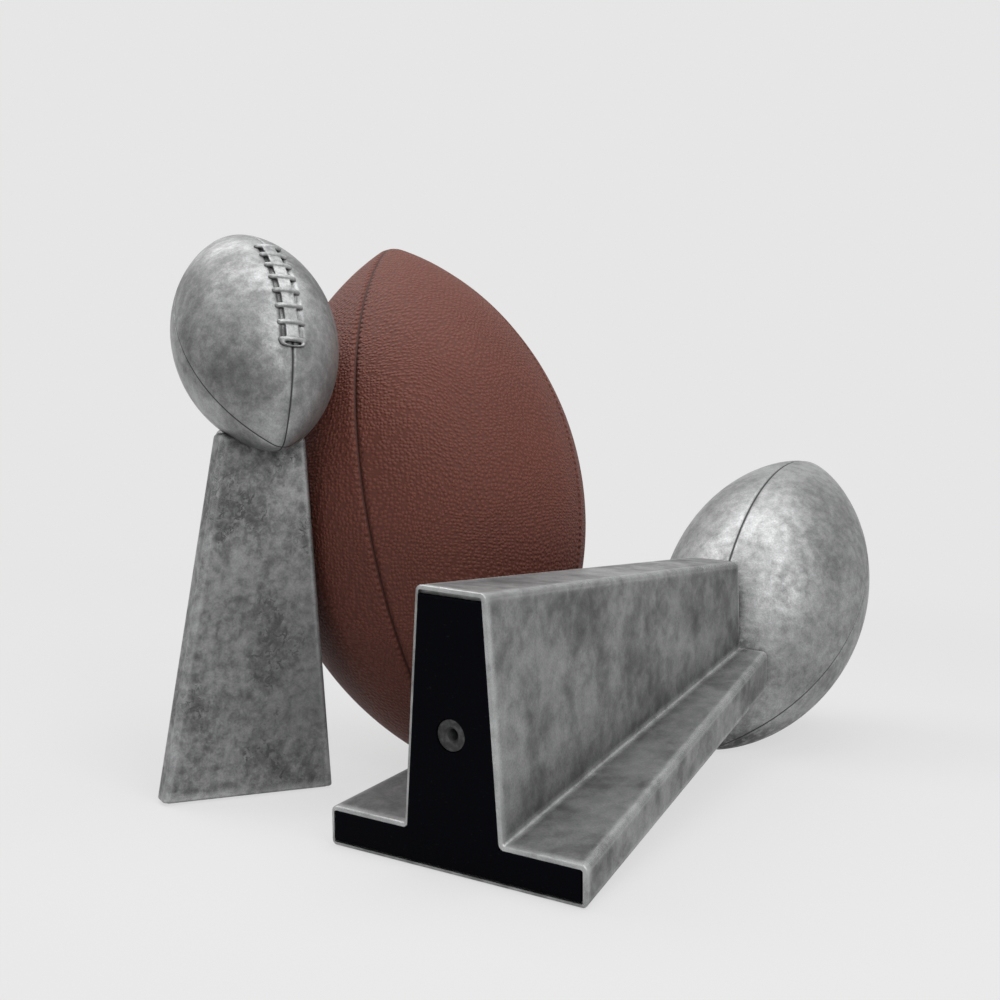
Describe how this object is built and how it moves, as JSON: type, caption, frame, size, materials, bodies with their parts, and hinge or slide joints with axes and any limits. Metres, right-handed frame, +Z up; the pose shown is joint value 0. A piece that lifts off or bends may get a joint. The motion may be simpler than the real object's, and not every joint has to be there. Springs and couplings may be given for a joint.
{
  "type": "football display set",
  "caption": "Two trophy style football stands, one standing and one lying on its face, with a full-size leather football leaning between them.",
  "frame": {"origin": "centre of the set's bounding box, on the floor plane", "axes": "+Z up; the front of the set, from which it is viewed, faces -Y; +X to the right seen from the front"},
  "size_m": [0.3806, 0.3808, 0.271],
  "materials": {
    "silver_casting": "antique silver finish with dark patina",
    "silver_ball": "antique silver finish, brighter",
    "base_pad": "matte black",
    "hardware": "dull",
    "leather": "pebbled",
    "lining": "woven",
    "bladder": "matte",
    "lace": "matte",
    "valve": "matte"
  },
  "bodies": {
    "large_stand": {"large_pedestal": "silver_casting", "large_trophy_ball": "silver_ball", "large_foot_pad": "base_pad", "large_threaded_insert": "hardware", "large_ball_stud": "hardware"},
    "small_stand": {"small_pedestal": "silver_casting", "small_trophy_ball": "silver_ball", "small_foot_pad": "base_pad", "small_threaded_insert": "hardware", "small_ball_stud": "hardware"},
    "football": {"football_panel_1": "leather", "football_panel_2": "leather", "football_panel_3": "leather", "football_panel_4": "leather", "football_lining_1": "lining", "football_lining_2": "lining", "football_lining_3": "lining", "football_lining_4": "lining", "football_bladder": "bladder", "football_lace": "lace", "football_valve": "valve"}
  },
  "joints": [
    {"name": "football_lift", "type": "slide", "parent": "large_stand", "child": "football", "axis": [0.303, 0.5051, 0.8081], "range_m": [0, 0.3]},
    {"name": "small_stand_lift", "type": "slide", "parent": "large_stand", "child": "small_stand", "axis": [-0.3015, -0.3015, 0.9045], "range_m": [0, 0.3]}
  ]
}
